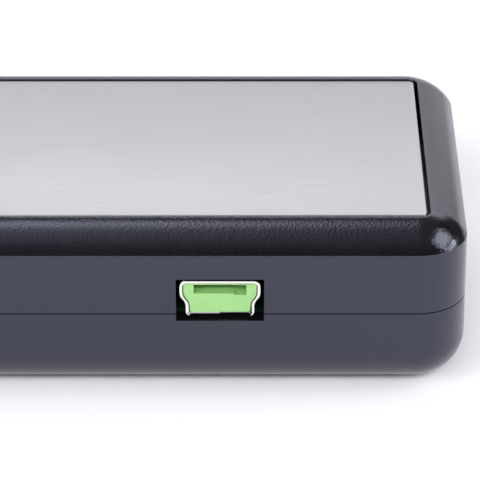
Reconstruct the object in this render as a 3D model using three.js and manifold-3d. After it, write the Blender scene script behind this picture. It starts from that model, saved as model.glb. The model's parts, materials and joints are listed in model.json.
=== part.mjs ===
// A pocket gram scale with a mini USB port, built as separate pieces in millimetres, +Z up.
// The origin is on the table, under the middle of the case. The platform lies at the +X end, the
// display and the keys at the -X end, and the USB port is in the long -Y side.
import * as THREE from 'three';
import { mergeVertices } from 'three/addons/utils/BufferGeometryUtils.js';
import Module from 'manifold-3d';

const wasm = await Module();
wasm.setup();

// ---------------------------------------------------------------- driving sizes
const gap = 0.3; // side clearance between two pieces
const seat = 0.1; // clearance where one piece rests on another

const caseLength = 112;
const caseWidth = 36;
const caseHeight = 16.7;
const cornerRadius = 4.7;
const wall = 1.6;
const floorThickness = 2;
const roofThickness = 1.6;
const partingHeight = 8.33; // from the underside of the case
const seamGap = 0.2;
const bottomRound = 4.4;
const innerRound = 2.4;
const bevelRadius = 4.6; // radius of the rim's domed bevel
const creaseSlope = THREE.MathUtils.degToRad(60); // slope of the bevel where it meets the wall
const rimWidth = 3.44;
const lipThickness = 0.6; // tongue of the lower case inside the seam
const lipHeight = 0.9;

const footRadius = 3;
const footHeight = 0.8;
const footPocket = 0.5;
const screwInsetX = 6.8; // case screws, measured in from the ends and the sides
const screwInsetY = 7.6;
const postRadius = 2.6;
const bossRadius = 2.1;

const panelLength = 38.6; // flat display panel between the rim and the platform
const openingCorner = 0.9;
const plateCorner = 0.6;
const plateThickness = 0.6;
const plateDrop = 0.1; // plate top below the top of the rim
const trayThickness = 1.8;
const trayClearance = 0.7; // free travel under the tray
const deckThickness = 1;
const skirtWall = 1.4;

const beamLength = 45;
const beamWidth = 9;
const beamHeight = 6;
const beamFootLength = 13; // length of the pedestal and of the platform boss
const beamHoleInner = 11.5; // screw holes, measured from the middle of the beam
const beamHoleOuter = 18.5;
const flexureRadius = 2;
const flexureSpacing = 5;
const flexureSlot = 1.6;
const coatingLength = 16;
const coatingWidth = 7;
const coatingThickness = 0.6;

const boardThickness = 1.2;
const boardMargin = 0.4;
const displayStack = 5.9; // from the main board's top to the underside of the roof
const boardReach = 0.9; // how far the board runs on past the display panel
const boardScrewY = 13.5;
const boardScrewSpacing = 18.4;
const boardBossRadius = 1.6;

const windowLength = 30;
const windowWidth = 13.6;
const windowThickness = 1;
const windowY = -5.2;
const viewLength = 23.4;
const viewWidth = 10.4;
const glassMargin = 0.8;
const glassThickness = 1.8;
const frameWall = 1.3;
const zebraWidth = 1.8;

const keyLength = 7.4;
const keyWidth = 5.2;
const keyCorner = 1.2;
const keyProud = 0.5;
const keyFlange = 0.5;
const keyFlangeThickness = 0.8;
const keyStem = 0.6;
const keyPitch = 9.2;
const keyRowY = 8.4;
const switchSize = 6;
const switchHeight = 3.4;
const plungerRadius = 1.7;
const plungerLength = 1.7;

const portInset = 22.8; // port centre from the +X end
const portRise = 1.45; // port centre above the parting line
const portCutLength = 8.1;
const portCutBelow = 0.73;
const portCutAbove = 3.6;
const portCutCorner = 0.15;
const portSetback = 0.3;
const shellLength = 9.2;
const portWide = 6.9; // clear width of the port, upper part
const portNarrow = 5.75; // clear width, lower part
const portTall = 3.1;
const portShoulder = 1.2; // from the inner top down to where the sides start to draw in
const portDraw = 1.1; // height over which they draw in
const portSheet = 0.3;
const portSlotLength = 4.84; // slot in the moulding, open to the front
const portSlotHeight = 0.85;
const portSlotTop = 0.3; // below the inner top
const portNotchLength = 1.1; // deeper end of the slot
const portNotchStep = 0.15;
const portBoardThickness = 1.1;
const portBoardHalf = 9.2;
const portScrewX = 6.9;

const cellRadius = 10;
const cellHeight = 3.2;
const capInset = 21; // cap centre from the -X end
const capThickness = 1.7;
const capRim = 1.25;
const capRimHeight = 1.4;
const lugReach = 1.5;
const lugHeight = 0.95;
const lugAngle = 40; // degrees
const lugPlay = 6; // degrees that a notch is wider than a lug
const capTurn = 45; // degrees from the notches to the locked place
const stopSize = 1; // width and height of the stops in the well
const coinSlotLength = 14;
const coinSlotWidth = 1.8;
const coinSlotDepth = 0.8;
const wellWall = 1.2;
const wellHeight = 3.4;
const sealRadius = 0.45;

// ---------------------------------------------------------------- levels and places worked out
const halfLength = caseLength / 2;
const halfWidth = caseWidth / 2;
const caseTop = footHeight + caseHeight;
const floorTop = footHeight + floorThickness;
const roofUnder = caseTop - roofThickness;
const seamZ = footHeight + partingHeight;
const innerX = halfLength - wall;
const innerY = halfWidth - wall;

const platformLeft = -halfLength + rimWidth + panelLength;
const platformRight = halfLength - rimWidth;
const platformHalfWidth = halfWidth - rimWidth;
const platformX = (platformLeft + platformRight) / 2;
const plateTop = caseTop - plateDrop;
const plateBottom = plateTop - plateThickness;
const trayTop = plateBottom - seat;
const trayBottom = trayTop - trayThickness;
const deckTop = trayBottom - trayClearance;
const deckBottom = deckTop - deckThickness;

const beamBottom = (floorTop + deckBottom - beamHeight) / 2; // midway between floor and deck
const beamTop = beamBottom + beamHeight;
const beamLeft = platformX - beamLength / 2;
const beamRight = platformX + beamLength / 2;

const screwX = halfLength - screwInsetX;
const screwY = halfWidth - screwInsetY;
const bossBottom = seamZ + seamGap / 2 + seat;

const boardTop = roofUnder - displayStack;
const boardBottom = boardTop - boardThickness;
const boardLeft = -screwX + postRadius + boardMargin;
const boardRight = platformLeft + boardReach;
const boardHalfWidth = innerY - lipThickness - gap;
const displayX = -halfLength + rimWidth + panelLength / 2;
const keyCentres = [-1, 0, 1].map((step) => displayX + step * keyPitch);

const portX = halfLength - portInset;
const portZ = seamZ + portRise;
const portMouthY = -halfWidth + portSetback;
const portBoardTop = portZ - portTall / 2 - portSheet - seat;
const portBoardBottom = portBoardTop - portBoardThickness;
const portBoardFront = -innerY + gap;
const portBoardBack = -beamWidth / 2 - gap - wall / 2;
const portScrewY = (portBoardBack + portBoardFront) / 2 + wall;

const capX = -halfLength + capInset;
const cellBottom = footHeight + capThickness + 2 * seat;
const cellTop = cellBottom + cellHeight;
const capRadius = cellRadius + gap + capRim;
const capHoleRadius = capRadius + gap;
const lugRadius = capRadius + lugReach;
const lugBottom = floorTop + 0.15;
const wellRadius = lugRadius + 2 * gap;

// ---------------------------------------------------------------- finishes
function finish(color, roughness, metalness = 0) {
  return new THREE.MeshStandardMaterial({ color, roughness, metalness });
}
const blackAbs = () => finish(0x1d1d20, 0.42);
const rubber = () => finish(0x232326, 0.85);
const brushedSteel = () => finish(0xc9c8cc, 0.32, 1);
const platedSteel = () => finish(0xd9d9d6, 0.25, 1);
const darkSteel = () => finish(0x55555a, 0.4, 1);
const greenBoard = () => finish(0x1f5b35, 0.5);
const chipBlack = () => finish(0x151517, 0.55);

// ---------------------------------------------------------------- solids from three.js geometry
function toSolid(geometry) {
  const bare = geometry.clone();
  bare.deleteAttribute('normal');
  bare.deleteAttribute('uv');
  const merged = mergeVertices(bare, 1e-4);
  const index = merged.index.array;
  const triangles = [];
  for (let i = 0; i < index.length; i += 3) {
    const [a, b, c] = [index[i], index[i + 1], index[i + 2]];
    if (a !== b && b !== c && c !== a) triangles.push(a, b, c);
  }
  return new wasm.Manifold(new wasm.Mesh({
    numProp: 3,
    vertProperties: new Float32Array(merged.attributes.position.array),
    triVerts: new Uint32Array(triangles),
  }));
}

function toGeometry(solid) {
  const mesh = solid.getMesh();
  const geometry = new THREE.BufferGeometry();
  geometry.setAttribute('position', new THREE.BufferAttribute(mesh.vertProperties, 3));
  geometry.setIndex(new THREE.BufferAttribute(mesh.triVerts, 1));
  geometry.computeVertexNormals();
  return geometry;
}

function block(x0, x1, y0, y1, z0, z1) {
  const geometry = new THREE.BoxGeometry(x1 - x0, y1 - y0, z1 - z0);
  geometry.translate((x0 + x1) / 2, (y0 + y1) / 2, (z0 + z1) / 2);
  return toSolid(geometry);
}

// An upright cylinder.
function disc(x, y, radius, z0, z1, segments = 20) {
  const geometry = new THREE.CylinderGeometry(radius, radius, z1 - z0, segments);
  geometry.rotateX(Math.PI / 2);
  geometry.translate(x, y, (z0 + z1) / 2);
  return toSolid(geometry);
}

function roundedRectangle(x0, x1, y0, y1, r) {
  const shape = new THREE.Shape();
  shape.moveTo(x0 + r, y0);
  shape.lineTo(x1 - r, y0);
  shape.absarc(x1 - r, y0 + r, r, -Math.PI / 2, 0);
  shape.lineTo(x1, y1 - r);
  shape.absarc(x1 - r, y1 - r, r, 0, Math.PI / 2);
  shape.lineTo(x0 + r, y1);
  shape.absarc(x0 + r, y1 - r, r, Math.PI / 2, Math.PI);
  shape.lineTo(x0, y0 + r);
  shape.absarc(x0 + r, y0 + r, r, Math.PI, 1.5 * Math.PI);
  return shape;
}

// A flat plate with rounded corners in plan.
function slab(x0, x1, y0, y1, r, z0, z1, curveSegments = 3) {
  const outline = roundedRectangle(x0, x1, y0, y1, r);
  const options = { depth: z1 - z0, bevelEnabled: false, curveSegments };
  const geometry = new THREE.ExtrudeGeometry(outline, options);
  geometry.translate(0, 0, z0);
  return toSolid(geometry);
}

// A slab centred on the origin whose top and bottom edges are rounded as well.
function pillow(halfX, halfY, r, z0, z1, edge, bevelSegments = 6) {
  const [x, y] = [halfX - edge, halfY - edge];
  const outline = roundedRectangle(-x, x, -y, y, r - edge);
  const geometry = new THREE.ExtrudeGeometry(outline, {
    depth: z1 - z0 - 2 * edge,
    bevelSize: edge,
    bevelThickness: edge,
    bevelSegments,
    curveSegments: 4,
  });
  geometry.translate(0, 0, z0 + edge);
  return toSolid(geometry);
}

// A solid of revolution round an upright axis; points are [radius, z] and close on themselves.
function turned(points, segments = 32) {
  const profile = points.map(([radius, z]) => new THREE.Vector2(radius, z));
  const geometry = new THREE.LatheGeometry([...profile, profile[0]], segments);
  geometry.rotateX(Math.PI / 2);
  const solid = toSolid(geometry);
  return solid.volume() < 0 ? flipped(geometry) : solid;
}

function flipped(geometry) {
  const index = geometry.index.array;
  for (let i = 0; i < index.length; i += 3) {
    [index[i], index[i + 1]] = [index[i + 1], index[i]];
  }
  return toSolid(geometry);
}

// An outline in the X-Z plane, extruded along Y from y0 to y1.
function upright(outline, y0, y1, curveSegments = 4) {
  const options = { depth: y1 - y0, bevelEnabled: false, curveSegments };
  const geometry = new THREE.ExtrudeGeometry(outline, options);
  geometry.rotateX(Math.PI / 2);
  geometry.translate(0, y1, 0);
  return toSolid(geometry);
}

function bundle(points, radius, steps) {
  const path = new THREE.CatmullRomCurve3(points.map((p) => new THREE.Vector3(...p)));
  const section = new THREE.Shape().absarc(0, 0, radius, 0, 2 * Math.PI);
  const options = { steps, extrudePath: path, curveSegments: 4 };
  return toSolid(new THREE.ExtrudeGeometry(section, options));
}

const join = (solids) => solids.reduce((sum, solid) => sum.add(solid));
const cut = (solid, tools) => solid.subtract(join(tools));
const fourCorners = [[1, 1], [1, -1], [-1, 1], [-1, -1]];

// A pan-head screw that points up, with the underside of its head at z = 0.
function screw(headRadius, headHeight, shankRadius, length) {
  const chamfer = headHeight / 4;
  const body = turned([
    [0, -headHeight], [headRadius - chamfer, -headHeight], [headRadius, -headHeight + chamfer],
    [headRadius, 0], [shankRadius, 0], [shankRadius, length], [0, length],
  ], 14);
  const [slotLength, slotWidth] = [headRadius * 0.6, headRadius * 0.16];
  const slotTop = -headHeight * 0.5;
  return cut(body, [
    block(-slotLength, slotLength, -slotWidth, slotWidth, -headHeight - 1, slotTop),
    block(-slotWidth, slotWidth, -slotLength, slotLength, -headHeight - 1, slotTop),
  ]);
}

const scale = new THREE.Group();

function place(group, name, solid, material, x = 0, y = 0, z = 0) {
  const mesh = new THREE.Mesh(toGeometry(solid), material);
  mesh.name = name;
  mesh.position.set(x, y, z);
  group.add(mesh);
  return mesh;
}

// ---------------------------------------------------------------- screws shared by the pieces
const caseScrew = { head: 2, height: 1.2, shank: 1.25 };
const cellScrew = { head: 2.3, height: 1.2, shank: 1.25 };
const boardScrew = { head: 1.7, height: 1, shank: 1 };

const caseScrewSeat = footHeight + footPocket + 2 * seat + caseScrew.height;
const caseScrewTop = deckBottom - 2 * gap;
const cellScrewTip = 1.6; // wall left under or over the tips of the load cell's screws
const portScrewLength = 4;
const boardScrewLength = displayStack - roofThickness / 2;

// ---------------------------------------------------------------- case shells
// The mouth in the wall for the USB port, cut through both shells.
function portCut(z0, z1) {
  const half = portCutLength / 2;
  const outline = roundedRectangle(portX - half, portX + half, z0, z1, portCutCorner);
  return upright(outline, -halfWidth - wall, -innerY + lipThickness);
}

function lowerCase() {
  const top = seamZ - seamGap / 2;
  const keep = block(-caseLength, caseLength, -caseWidth, caseWidth, -1, top);
  const outer = pillow(halfLength, halfWidth, cornerRadius, footHeight, caseTop, bottomRound);
  const innerCorner = cornerRadius - wall;
  const cavity = pillow(innerX, innerY, innerCorner, floorTop, caseTop, innerRound, 3);
  const lipX = innerX + lipThickness;
  const lipY = innerY + lipThickness;
  const lipCorner = innerCorner + lipThickness;
  const lip = slab(-lipX, lipX, -lipY, lipY, lipCorner, top - 1, seamZ + lipHeight);
  const lipHole = slab(-innerX, innerX, -innerY, innerY, innerCorner, top - 2, caseTop);
  const root = footHeight + floorThickness / 2; // posts start inside the floor

  const added = [lip.subtract(lipHole)];
  const removed = [];
  for (const [sx, sy] of fourCorners) {
    const [x, y] = [sx * screwX, sy * screwY];
    added.push(disc(x, y, postRadius, root, top));
    removed.push(disc(x, y, footRadius + gap, 0, footHeight + footPocket, 32));
    removed.push(disc(x, y, caseScrew.head + gap, 0, caseScrewSeat + seat));
    removed.push(disc(x, y, caseScrew.shank + gap, 0, caseTop, 12));
  }

  // Pedestal under the fixed end of the load cell.
  const beamHalf = beamWidth / 2;
  const pedestalRight = beamLeft + beamFootLength;
  added.push(block(beamLeft, pedestalRight, -beamHalf, beamHalf, root, beamBottom - seat));
  for (const offset of [beamHoleInner, beamHoleOuter]) {
    const bottom = footHeight + cellScrewTip;
    removed.push(disc(platformX - offset, 0, cellScrew.shank + gap, bottom, beamTop, 12));
  }

  // Posts under the USB board.
  for (const side of [-1, 1]) {
    const x = portX + side * portScrewX;
    const postTop = portBoardBottom - seat;
    added.push(disc(x, portScrewY, boardScrew.head + gap, root, postTop));
    const holeBottom = portBoardTop - portScrewLength - gap;
    removed.push(disc(x, portScrewY, boardScrew.shank + gap, holeBottom, caseTop, 12));
  }
  removed.push(portCut(seamZ - portCutBelow, caseTop));

  // Bayonet seat of the battery cap: a round hole with two notches, a well round it and stops.
  const ring = disc(capX, 0, wellRadius + wellWall, root, floorTop + wellHeight, 40);
  added.push(ring.subtract(disc(capX, 0, wellRadius, floorTop, caseTop, 40)));
  removed.push(disc(capX, 0, capHoleRadius, 0, floorTop + seat, 40));
  for (const turn of [0, 180]) {
    const notch = sector(capTurn + turn, lugAngle + lugPlay, lugRadius + gap, 0, floorTop + seat);
    removed.push(notch.translate([capX, 0, 0]));
  }
  let shell = outer.intersect(keep).subtract(cavity).add(join(added)).subtract(join(removed));
  for (const turn of [0, 180]) {
    for (const angle of [-lugAngle / 2 - lugPlay, capTurn + lugAngle / 2 + lugPlay]) {
      const stop = block(
        capRadius + 2 * gap, wellRadius + gap, -stopSize / 2, stopSize / 2,
        lugBottom, lugBottom + stopSize,
      );
      shell = shell.add(stop.rotate([0, 0, angle + turn]).translate([capX, 0, 0]));
    }
  }
  return shell;
}

// A wedge of a disc, centred on an angle in degrees.
function sector(centre, width, radius, z0, z1) {
  const half = THREE.MathUtils.degToRad(width / 2);
  const middle = THREE.MathUtils.degToRad(centre);
  const outline = new THREE.Shape();
  outline.absarc(0, 0, radius, middle - half, middle + half);
  outline.lineTo(0, 0);
  const options = { depth: z1 - z0, bevelEnabled: false, curveSegments: 6 };
  const geometry = new THREE.ExtrudeGeometry(outline, options);
  geometry.translate(0, 0, z0);
  return toSolid(geometry);
}

function upperCase() {
  const bottom = seamZ + seamGap / 2;
  const overhang = bevelRadius * (1 - Math.sin(creaseSlope));
  const domeX = halfLength + overhang;
  const domeY = halfWidth + overhang;
  const domeBottom = bottom - 2 * bevelRadius;
  const dome = pillow(domeX, domeY, cornerRadius + overhang, domeBottom, caseTop, bevelRadius, 8);
  const prism = slab(
    -halfLength, halfLength, -halfWidth, halfWidth, cornerRadius, bottom, caseTop + 1,
  );
  const innerCorner = cornerRadius - wall;
  const hollow = slab(-innerX, innerX, -innerY, innerY, innerCorner, 0, deckBottom);
  const bayY = innerY - skirtWall;
  const bayRight = platformLeft - skirtWall;
  const bay = slab(-innerX + skirtWall, bayRight, -bayY, bayY, 2, 0, roofUnder);
  const rebateX = innerX + lipThickness + gap;
  const rebateY = innerY + lipThickness + gap;
  const rebate = slab(
    -rebateX, rebateX, -rebateY, rebateY, innerCorner + lipThickness + gap,
    0, seamZ + lipHeight + gap,
  );

  const added = [];
  const removed = [];
  for (const [sx, sy] of fourCorners) {
    const [x, y] = [sx * screwX, sy * screwY];
    added.push(disc(x, y, bossRadius, bossBottom, (sx < 0 ? roofUnder : deckBottom) + seat));
    removed.push(disc(x, y, caseScrew.shank + gap, 0, caseScrewTop + gap, 12));
  }
  for (const side of [-1, 1]) {
    const x = displayX + side * boardScrewSpacing / 2;
    added.push(disc(x, boardScrewY, boardBossRadius, boardTop + seat, roofUnder + seat));
    const holeTop = boardBottom + boardScrewLength + gap;
    removed.push(disc(x, boardScrewY, boardScrew.shank + gap, 0, holeTop, 12));
  }

  // Opening for the platform, with a round-cornered floor and a hole for its boss.
  removed.push(slab(
    platformLeft, platformRight, -platformHalfWidth, platformHalfWidth,
    openingCorner, deckTop, caseTop + 1,
  ));
  const bossLeft = beamRight - beamFootLength - 2 * gap;
  const bossHalf = beamWidth / 2 + 2 * gap;
  removed.push(block(bossLeft, beamRight + 2 * gap, -bossHalf, bossHalf, 0, caseTop));

  // Window pocket with a ledge, and the three key holes.
  const [pocketX, pocketY] = [windowLength / 2 + seat, windowWidth / 2 + seat];
  removed.push(slab(
    displayX - pocketX, displayX + pocketX, windowY - pocketY, windowY + pocketY,
    1.1, caseTop - windowThickness - seat, caseTop + 1,
  ));
  const [viewX, viewY] = [viewLength / 2, viewWidth / 2];
  removed.push(slab(
    displayX - viewX, displayX + viewX, windowY - viewY, windowY + viewY, 0.5, 0, caseTop,
  ));
  for (const x of keyCentres) {
    const [holeX, holeY] = [keyLength / 2 + gap, keyWidth / 2 + gap];
    removed.push(slab(
      x - holeX, x + holeX, keyRowY - holeY, keyRowY + holeY, keyCorner + gap, 0, caseTop + 1,
    ));
  }
  removed.push(portCut(0, seamZ + portCutAbove));
  const shell = dome.intersect(prism).subtract(join([hollow, bay, rebate]));
  return shell.add(join(added)).subtract(join(removed));
}

function buildHousing() {
  const housing = new THREE.Group();
  place(housing, 'lower_case', lowerCase(), blackAbs());
  place(housing, 'upper_case', upperCase(), blackAbs());
  const foot = turned([
    [0, 0], [footRadius - 0.3, 0], [footRadius, 0.3],
    [footRadius, footHeight + footPocket - seat], [0, footHeight + footPocket - seat],
  ], 24);
  const { head, height, shank } = caseScrew;
  const fastener = screw(head, height, shank, caseScrewTop - caseScrewSeat);
  const ends = ['front_right', 'back_right', 'front_left', 'back_left'];
  fourCorners.forEach(([sx, sy], i) => {
    place(housing, `foot_${ends[i]}`, foot, rubber(), sx * screwX, sy * screwY, 0);
    const screwName = `case_screw_${ends[i]}`;
    place(housing, screwName, fastener, darkSteel(), sx * screwX, sy * screwY, caseScrewSeat);
  });
  return housing;
}

// ---------------------------------------------------------------- platform and load cell
function buildWeighing() {
  const weighing = new THREE.Group();
  const plateX = (platformRight - platformLeft) / 2 - gap;
  const plateY = platformHalfWidth - gap;
  const plate = slab(-plateX, plateX, -plateY, plateY, plateCorner, 0, plateThickness);
  place(weighing, 'platform_plate', plate, brushedSteel(), platformX, 0, plateBottom);

  // Plastic carrier under the plate, with a boss that stands on the free end of the beam.
  const bossLeft = beamRight - beamFootLength;
  const bossHalf = beamWidth / 2;
  const carrier = slab(
    platformX - plateX + seat, platformX + plateX - seat, -plateY + seat, plateY - seat,
    plateCorner, trayBottom, trayTop,
  );
  const boss = block(bossLeft, beamRight, -bossHalf, bossHalf, beamTop + seat, trayBottom + 0.5);
  const tipTop = trayTop - cellScrewTip;
  const freeHoles = [beamHoleInner, beamHoleOuter].map((offset) => (
    disc(platformX + offset, 0, cellScrew.shank + gap, 0, tipTop, 12)
  ));
  place(weighing, 'platform_tray', cut(carrier.add(boss), freeHoles), blackAbs());

  // Aluminium beam: two round flexures joined by a slot, and two screw holes at each end.
  const half = beamHeight / 2;
  const flexures = [-1, 1].map((side) => {
    const hole = new THREE.CylinderGeometry(flexureRadius, flexureRadius, 2 * beamWidth, 20);
    hole.translate(side * flexureSpacing, 0, half);
    return toSolid(hole);
  });
  const slotHalf = flexureSlot / 2;
  const slot = block(
    -flexureSpacing, flexureSpacing, -beamWidth, beamWidth, half - slotHalf, half + slotHalf,
  );
  const holes = [-beamHoleOuter, -beamHoleInner, beamHoleInner, beamHoleOuter].map((x) => (
    disc(x, 0, cellScrew.shank + gap, -1, beamHeight + 1, 12)
  ));
  const beamHalfLength = beamLength / 2;
  const bar = block(-beamHalfLength, beamHalfLength, -beamWidth / 2, beamWidth / 2, 0, beamHeight);
  const beam = cut(bar, [...flexures, slot, ...holes]);
  place(weighing, 'load_cell', beam, finish(0xb9bbbf, 0.4, 1), platformX, 0, beamBottom);

  const [coatX, coatY] = [coatingLength / 2, coatingWidth / 2];
  const coating = slab(-coatX, coatX, -coatY, coatY, 1.5, 0, coatingThickness);
  const silicone = () => finish(0xe9e7df, 0.6);
  place(weighing, 'gauge_coating_top', coating, silicone(), platformX, 0, beamTop + seat);
  const underside = beamBottom - seat - coatingThickness;
  place(weighing, 'gauge_coating_bottom', coating, silicone(), platformX, 0, underside);

  const { head, height, shank } = cellScrew;
  const downLength = beamTop + seat - (footHeight + cellScrewTip) - gap;
  const downScrew = screw(head, height, shank, downLength);
  const upLength = tipTop - gap - (beamBottom - seat);
  const upScrew = screw(head, height, shank, upLength);
  [beamHoleInner, beamHoleOuter].forEach((offset, i) => {
    const baseScrew = place(
      weighing, `cell_base_screw_${i + 1}`, downScrew, darkSteel(), platformX - offset, 0, beamTop + seat,
    );
    baseScrew.rotation.x = Math.PI;
    place(
      weighing, `cell_platform_screw_${i + 1}`, upScrew, darkSteel(),
      platformX + offset, 0, beamBottom - seat,
    );
  });
  return weighing;
}

// ---------------------------------------------------------------- main board and display
function buildDisplay() {
  const display = new THREE.Group();
  const drill = [-1, 1].map((side) => {
    const x = displayX + side * boardScrewSpacing / 2;
    return disc(x, boardScrewY, boardScrew.shank + gap, 0, caseTop, 12);
  });
  const board = slab(
    boardLeft, boardRight, -boardHalfWidth, boardHalfWidth, 1, boardBottom, boardTop, 2,
  );
  place(display, 'main_board', cut(board, drill), greenBoard());
  const { head, height, shank } = boardScrew;
  const fastener = screw(head, height, shank, boardScrewLength);
  [-1, 1].forEach((side, i) => {
    const x = displayX + side * boardScrewSpacing / 2;
    const z = boardBottom - seat;
    place(display, `board_screw_${i + 1}`, fastener, darkSteel(), x, boardScrewY, z);
  });

  // Window, glass, frame, light guide and the rubber connector under the glass.
  const [windowX, windowHalf] = [windowLength / 2, windowWidth / 2];
  const lens = slab(-windowX, windowX, -windowHalf, windowHalf, 1, 0, windowThickness);
  const lensZ = caseTop - windowThickness;
  place(display, 'display_window', lens, finish(0x0c0d10, 0.08), displayX, windowY, lensZ);

  const glassX = viewLength / 2 + glassMargin / 2;
  const glassY = viewWidth / 2 + glassMargin;
  const glassTop = displayStack - seat;
  const glassBottom = glassTop - glassThickness;
  const glass = slab(-glassX, glassX, -glassY, glassY, 0.2, glassBottom, glassTop, 2);
  place(display, 'lcd_glass', glass, finish(0x93a08c, 0.2), displayX, windowY, boardTop);

  const [pocketX, pocketY] = [glassX + gap, glassY + gap];
  const [outX, outY] = [pocketX + frameWall / 2, pocketY + frameWall];
  const frameTop = glassTop - gap;
  const ring = slab(-outX, outX, -outY, outY, 0.5, seat, frameTop, 2);
  const frame = cut(ring, [block(-pocketX, pocketX, -pocketY, pocketY, -1, caseTop)]);
  place(display, 'lcd_frame', frame, finish(0xe4e4e0, 0.5), displayX, windowY, boardTop);

  const stripTop = glassBottom - seat;
  const strip = block(-glassX, glassX, -glassY, -glassY + zebraWidth, seat, stripTop);
  place(display, 'zebra_strip', strip, finish(0xc98a9a, 0.8), displayX, windowY, boardTop);
  const guideFront = -glassY + zebraWidth + gap;
  const guideBottom = stripTop - 2;
  const guide = block(-glassX, glassX, guideFront, glassY, guideBottom, stripTop);
  const feet = [-1, 1].map((side) => {
    const x = side * (glassX - 1);
    return block(x - 0.8, x + 0.8, guideFront, glassY, seat, guideBottom);
  });
  place(display, 'light_guide', join([guide, ...feet]), finish(0xf4f4f0, 0.3), displayX, windowY, boardTop);

  // Chips on the underside of the board, beside the battery well.
  const chipX = (capX + wellRadius + wellWall + boardRight) / 2;
  const chipTop = boardBottom - seat;
  const controller = slab(-3, 3, -4.5, 4.5, 0.3, -1.4, 0, 1);
  place(display, 'controller_chip', controller, chipBlack(), chipX, -7, chipTop);
  const converter = slab(-2, 2, -3, 3, 0.3, -1.3, 0, 1);
  place(display, 'converter_chip', converter, chipBlack(), chipX, 4, chipTop);
  const crystal = slab(-1.6, 1.6, -2, 2, 1.2, -2.2, 0, 2);
  place(display, 'crystal', crystal, platedSteel(), chipX, 11, chipTop);
  return display;
}

// ---------------------------------------------------------------- keys and their switches
function buildControls() {
  const controls = new THREE.Group();
  const flangeTop = roofUnder - 2 * seat;
  const flangeBottom = flangeTop - keyFlangeThickness;
  const stemBottom = flangeBottom - keyStem;
  const plungerTop = stemBottom - seat;
  const switchTop = boardTop + seat + switchHeight;
  const [keyX, keyY] = [keyLength / 2, keyWidth / 2];
  const [flangeX, flangeY] = [keyX + keyFlange, keyY + keyFlange];
  const key = join([
    slab(-keyX, keyX, -keyY, keyY, keyCorner, flangeBottom, caseTop + keyProud),
    slab(-flangeX, flangeX, -flangeY, flangeY, keyCorner, flangeBottom, flangeTop),
    disc(0, 0, plungerRadius, stemBottom, flangeBottom + 0.2, 12),
  ]);
  const boreBottom = plungerTop - plungerLength - 2 * gap;
  const half = switchSize / 2;
  const body = cut(
    slab(-half, half, -half, half, 0.4, boardTop + seat, switchTop, 1),
    [disc(0, 0, plungerRadius + gap, boreBottom, caseTop, 20)],
  );
  const plunger = disc(0, 0, plungerRadius, plungerTop - plungerLength, plungerTop, 12);
  ['power', 'mode', 'tare'].forEach((name, i) => {
    const x = keyCentres[i];
    place(controls, `key_${name}`, key, finish(0x2b2b30, 0.6), x, keyRowY, 0);
    place(controls, `plunger_${name}`, plunger, finish(0xb9402f, 0.5), x, keyRowY, 0);
    place(controls, `switch_${name}`, body, chipBlack(), x, keyRowY, 0);
  });
  return controls;
}

// ---------------------------------------------------------------- mini USB port
// The port's outline, wide above and narrow below, grown all round by a distance.
function portOutline(grow) {
  const [wide, narrow] = [portWide / 2 + grow, portNarrow / 2 + grow];
  const [top, bottom] = [portTall / 2 + grow, -portTall / 2 - grow];
  const topRadius = 0.36 + grow;
  const bottomRadius = 0.3 + grow / 2;
  const shoulder = portTall / 2 - portShoulder;
  const waist = shoulder - portDraw;
  const bend = (shoulder - waist) / 2;
  const shape = new THREE.Shape();
  shape.moveTo(-narrow + bottomRadius, bottom);
  shape.lineTo(narrow - bottomRadius, bottom);
  shape.quadraticCurveTo(narrow, bottom, narrow, bottom + bottomRadius);
  shape.lineTo(narrow, waist);
  shape.bezierCurveTo(narrow, waist + bend, wide, shoulder - bend, wide, shoulder);
  shape.lineTo(wide, top - topRadius);
  shape.quadraticCurveTo(wide, top, wide - topRadius, top);
  shape.lineTo(-wide + topRadius, top);
  shape.quadraticCurveTo(-wide, top, -wide, top - topRadius);
  shape.lineTo(-wide, shoulder);
  shape.bezierCurveTo(-wide, shoulder - bend, -narrow, waist + bend, -narrow, waist);
  shape.lineTo(-narrow, bottom + bottomRadius);
  shape.quadraticCurveTo(-narrow, bottom, -narrow + bottomRadius, bottom);
  return shape;
}

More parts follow.
